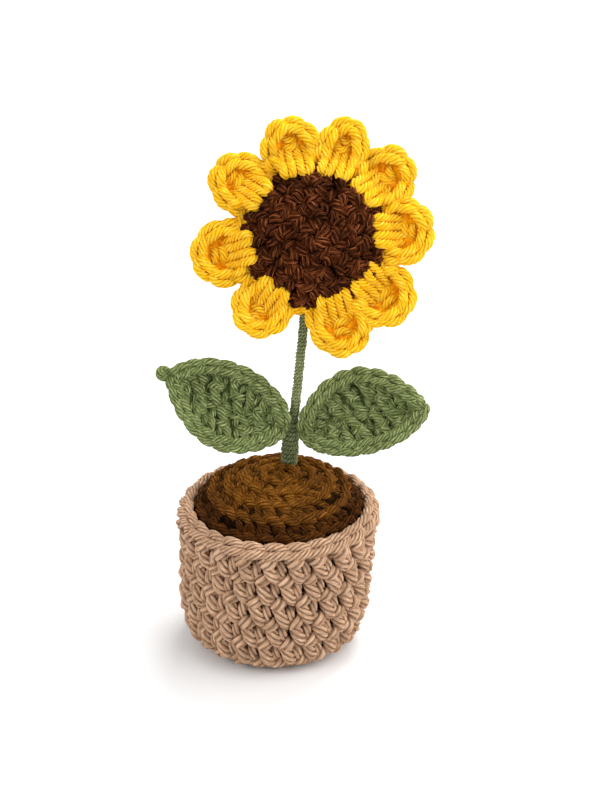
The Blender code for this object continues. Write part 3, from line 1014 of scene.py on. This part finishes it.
class Ring:
    """The band of the chain that joins the petals, in the head's plane: turn by angle, up in mm."""

    def __init__(self, start, end, radius):
        self.start, self.end, self.radius = radians(start), radians(end), radius

    def __call__(self, turns, up, out):
        angle = self.start + (self.end - self.start) * -turns
        radius = self.radius + up
        local = np.stack([radius * np.cos(angle), radius * np.sin(angle), out - 0.2 + 0 * angle], axis=1)
        return HEAD_CENTRE + local @ HEAD_AXES


POST_OFFSET = 2.75  # from a petal's middle line to the middle of each of its two posts
RING_RADIUS = 22.2
UNEVEN_TILT = 0.06  # spread of the petals' roll and nod
MEAN_NOD = 0.04


def make_petals():
    rng = np.random.default_rng(41)
    turns = [turn for turn, _, _ in PETALS]
    for index, (turn, width, reach) in enumerate(PETALS):
        roll, nod = rng.normal(size=2) * UNEVEN_TILT
        petal = Petal(turn, width, reach, roll, nod + MEAN_NOD)
        name = f"petal_{index + 1:02d}"
        controls = stitches(CHAIN, 6, petal.border, GOLD_YARN, rng, scale=GOLD_YARN.radius, jitter=1.6)
        strands = [laid(controls, GOLD_YARN, closed=False)]
        for offset in (-POST_OFFSET, POST_OFFSET):
            strands.append(petal.strand(POST, offset, rng, GOLD_YARN))
        strands.append(petal.strand(CROSSING, rng.uniform(-0.5, 0.5), rng, GOLD_YARN))
        strands.append(petal.strand(LOW_CROSSING, rng.uniform(-0.5, 0.5), rng, GOLD_YARN))
        before = (turns[index - 1] - (360 if index == 0 else 0) + turn) / 2
        after = (turns[(index + 1) % len(turns)] + (360 if index == len(turns) - 1 else 0) + turn) / 2
        ring = Ring(before - 1, after + 1, RING_RADIUS)
        controls = stitches(CHAIN, 3, ring, GOLD_YARN, rng, scale=GOLD_YARN.radius, jitter=1.6)
        strands.append(laid(controls, GOLD_YARN, closed=False))
        pieces = [yarn_object(name + "_yarn", strands, GOLD_YARN)]
        # the orange backing: painted shade in the petal's hollow and gaps
        pieces.append(shade_sheet(name + "_shade_backing", petal.sheet, (0.02, 1.1), (0.0, -1.0), GOLD_SHADE, 28, 8))
        settle(pieces, name)


class Leaf:
    """A pointed leaf: turn runs once round it from its base, up from the midrib at 0 to the edge at 1."""

    RIB = (0.13, 0.74)  # where the midrib starts, and its length, as shares of the leaf's length
    FULLNESS = 0.62  # below 1 the sides are fuller than a sine
    HALF_WIDTH = 13.8
    FACING = (0.0, -0.80, 0.60)
    UPPER_RISE = 7.4  # how far the upper edge stands over the midrib
    LOWER_RISE = 3.8
    RIB_DEPTH = 1.2
    FABRIC_INSET = 2.4
    BORDER_INSET = 1.75  # in yarn radii
    BORDER_LIFT = 0.9

    def __init__(self, base, tip, bow):
        self.base = np.array(base)
        along = np.array(tip) - self.base
        self.length = np.linalg.norm(along)
        self.along = along / self.length
        facing = np.array(self.FACING)
        facing = facing - self.along * (facing @ self.along)
        self.facing = facing / np.linalg.norm(facing)
        self.across = np.cross(self.facing, self.along)
        self.bow = bow

    def flat(self, turns, up, inset=0.0):
        """Along and across, in mm, of a spot between the midrib and the edge less an inset."""
        angle = 2 * pi * turns
        share = (1 - np.cos(angle)) / 2
        full = np.abs(np.sin(pi * share)) ** self.FULLNESS
        rib = self.length * (self.RIB[0] + self.RIB[1] * share)
        edge = inset + (self.length - 2 * inset) * share
        along = rib + (edge - rib) * up
        across = np.sign(np.sin(angle)) * (self.HALF_WIDTH - inset) * full * up
        return along, across + self.bow * np.sin(pi * share)

    def place(self, along, across, lift):
        return (
            self.base
            + along[:, None] * self.along
            + across[:, None] * self.across
            + lift[:, None] * self.facing
        )

    def lift(self, turns, up):
        side = np.sin(2 * pi * turns)
        upper = np.sign(side) * np.sign(self.across[2]) > 0
        rise = np.where(upper, self.UPPER_RISE, self.LOWER_RISE)
        return rise * up**2 * np.abs(side) ** 0.5 - self.RIB_DEPTH

    def fabric(self, turns, up, out):
        """The inner round of stitches and the backing whose darker green paints the shade in their gaps;
        both end under the border.
        """
        along, across = self.flat(turns, up, self.FABRIC_INSET)
        return self.place(along, across, self.lift(turns, up) + out)

    def border(self, turns, up, out):
        """The band of the border's chain, up being mm outward from its middle."""
        step = 0.002
        inset = LEAF_YARN.radius * self.BORDER_INSET
        along, across = self.flat(turns, 1.0, inset)
        ahead, behind = self.flat(turns + step, 1.0, inset), self.flat(turns - step, 1.0, inset)
        run = np.stack([ahead[0] - behind[0], ahead[1] - behind[1]])
        run /= np.linalg.norm(run, axis=0)
        lift = self.lift(turns, 1.0) + self.BORDER_LIFT + out
        return self.place(along - run[1] * up, across + run[0] * up, lift)

    def midrib(self, turns, up, out):
        """The band of the chain that the leaf was started on; turns fall from 0 to -1."""
        share = -turns
        along = self.length * (self.RIB[0] + self.RIB[1] * share)
        across = self.bow * np.sin(pi * np.clip(share, 0, 1)) + up
        return self.place(along, across, out - self.RIB_DEPTH + 0 * share)


# each leaf's base and tip, the midrib's bow, and whether the yarn's end is knotted at the tip
LEAVES = [
    ("leaf_left", (5.0, 4.6, 73.0), (-33.0, 1.0, 95.6), 2.0, True),
    ("leaf_right", (9.8, 4.6, 71.8), (51.4, 1.0, 83.3), 2.6, False),
]


def knot(centre, axis, facing):
    """The yarn's end, tied at the leaf's tip: a neck out of the border, then two tight turns."""
    across = np.cross(facing, axis)
    turns = 17
    angles = np.linspace(pi, 5 * pi, turns)
    swell = np.sin(np.linspace(0.35, 0.9, turns) * pi) * 1.55
    points = (
        centre
        + axis[None, :] * (np.cos(angles) * swell)[:, None]
        + across[None, :] * (np.sin(angles) * swell)[:, None]
        + facing[None, :] * np.linspace(-0.8, 1.2, turns)[:, None]
    )
    neck = [centre - axis * 8.5 + across * 2.6 - facing, centre - axis * 5.0 + across * 1.4]
    points = np.vstack([neck, points])
    return np.column_stack([points, np.full(len(points), 1.0)])


def make_leaves():
    rng = np.random.default_rng(53)
    for node, base, tip, bow, knotted in LEAVES:
        leaf = Leaf(base, tip, bow)
        inner = stitches(FLAT_SINGLE, 13, leaf.fabric, LEAF_YARN, rng, start=0.5, scale=0.42, jitter=1.6)
        outer = stitches(
            FLAT_SINGLE, 19, leaf.fabric, LEAF_YARN, rng, start=0.5, row=0.42, scale=0.40, jitter=1.6
        )
        edge = stitches(CHAIN, 21, leaf.border, LEAF_YARN, rng, start=0.3, scale=LEAF_YARN.radius)
        rib = stitches(CHAIN, 7, leaf.midrib, LEAF_YARN, rng, scale=LEAF_YARN.radius)
        strands = [laid(inner, LEAF_YARN), laid(outer, LEAF_YARN), laid(edge, LEAF_YARN)]
        strands.append(laid(rib, LEAF_YARN, closed=False))
        if knotted:
            centre = np.array(tip) + leaf.along * 0.9 + leaf.across * 0.5 + leaf.facing * 1.4
            strands.append(laid(knot(centre, leaf.along, leaf.facing), LEAF_YARN, closed=False))
        pieces = [yarn_object(node + "_yarn", strands, LEAF_YARN)]
        # the darker green backing: painted shade in the gaps between the stitches
        pieces.append(shade_sheet(node + "_shade_backing", leaf.fabric, (0.0, 0.95), (0.7, -0.7), LEAF_SHADE, 48, 8))
        settle(pieces, node)


# points of the stem's middle line with its radius there
STEM_PATH = [
    (6.2, 9.0, 57.0, 2.90),
    (6.4, 8.0, 64.5, 3.05),
    (6.7, 7.2, 68.0, 2.95),
    (7.0, 6.6, 71.5, 2.60),
    (7.4, 6.0, 75.0, 2.15),
    (7.9, 5.6, 79.0, 1.80),
    (9.0, 4.4, 89.9, 1.70),
    (9.8, 3.5, 99.3, 1.68),
    (10.7, 2.6, 109.0, 1.66),
    (11.1, 1.3, 116.6, 1.66),
]
STEM_PITCH = 1.3  # distance between two wraps on the thin part
FOOT_PITCH = 0.45  # how much more that is at the foot, as a share
WRAP_POINTS = 24  # points on each wrap
# the wraps' unevenness: mm in and out, waves for each radian of the coil, and where the wave starts
WRAP_WAVES = ((0.07, 0.31, 0.0), (0.06, 0.83, 1.0))


def make_stem():
    path = even(spline(np.array(STEM_PATH), False, 12), False, 0.25)
    points, radii = path[:, :3], path[:, 3]
    tangents, normals = frames_along(points, False)
    binormals = np.cross(tangents, normals)
    lengths = np.concatenate([[0.0], np.cumsum(np.linalg.norm(np.diff(points, axis=0), axis=1))])
    along = np.linspace(0.0, lengths[-1], int(lengths[-1] / STEM_PITCH * WRAP_POINTS))

    def at(block):
        return np.stack([np.interp(along, lengths, column) for column in block.T], axis=1)

    radius = np.interp(along, lengths, radii)
    slim, stout = radii.min(), radii.max()
    widened = 1 + FOOT_PITCH * (radius - slim) / (stout - slim)
    angle = np.cumsum(along[1] / widened) * 2 * pi / STEM_PITCH
    uneven = sum(size * np.sin(angle * rate + start) for size, rate, start in WRAP_WAVES)
    radius = radius - STEM_YARN.radius * widened + uneven
    coil = (
        at(points)
        + at(normals) * (radius * np.cos(angle))[:, None]
        + at(binormals) * (radius * np.sin(angle))[:, None]
    )
    coil = even(np.column_stack([coil, widened]), False, STEM_YARN.step)
    pieces = [yarn_object("stem_wrapping", [(coil[:, :3], coil[:, 3], False)], STEM_YARN)]
    settle(pieces, "stem_winding")


def make_stuffing(node, centre, axes, size, seed):
    """Fibre fill as one lumpy closed body: half sizes in mm across, above and below."""
    ball = bmesh.new()
    bmesh.ops.create_icosphere(ball, subdivisions=5, radius=1.0)
    rng = np.random.default_rng(seed)
    offset = Vector(rng.uniform(-50, 50, 3))
    for vertex in ball.verts:
        direction = np.array(vertex.co)
        flat = np.hypot(direction[0], direction[1]) / size[0]
        tall = abs(direction[2]) / (size[1] if direction[2] > 0 else size[2])
        reach = (flat**3 + tall**3) ** (-1 / 3)
        lumps = noise.noise(Vector(direction * 2.6) + offset)
        lumps += 0.5 * noise.noise(Vector(direction * 6.0) + offset)
        local = direction * reach * (0.94 + 0.05 * lumps)
        vertex.co = Vector((centre + local @ axes) * MM)
    mesh = bpy.data.meshes.new(node)
    ball.to_mesh(mesh)
    ball.free()
    mesh.shade_smooth()
    made = linked(node + "_fibre", mesh, FLUFF)
    settle([made], node)


def wire_material():
    """Soft iron wire: dull metal with faint specks of tone and roughness."""
    made, nodes, links, shader = new_material("wire")
    shader.inputs["Metallic"].default_value = 1.0
    specks = object_noise(nodes, links, 2500.0)
    ramp = ramp_node(nodes, ((0.4, (0.30, 0.30, 0.30)), (0.6, (0.48, 0.47, 0.46))))
    links.new(specks, ramp.inputs["Fac"])
    links.new(ramp.outputs["Color"], shader.inputs["Base Color"])
    rough = shade_node(nodes, links, specks, 0.3, 0.7, 0.35, 0.55)
    links.new(rough, shader.inputs["Roughness"])
    return made


def make_inside():
    make_stuffing("pot_stuffing", np.array((1.5, 0.0, 26.0)), np.eye(3), (24.0, 22.0, 18.5), 61)
    make_stuffing("head_stuffing", HEAD_CENTRE, HEAD_AXES, (16.0, 6.0, 3.0), 67)
    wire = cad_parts["stem_wire"]
    wire.data.materials.clear()
    wire.data.materials.append(wire_material())


make_stage()
make_inside()
make_pot()
make_soil()
make_discs()
make_petals()
make_leaves()
make_stem()
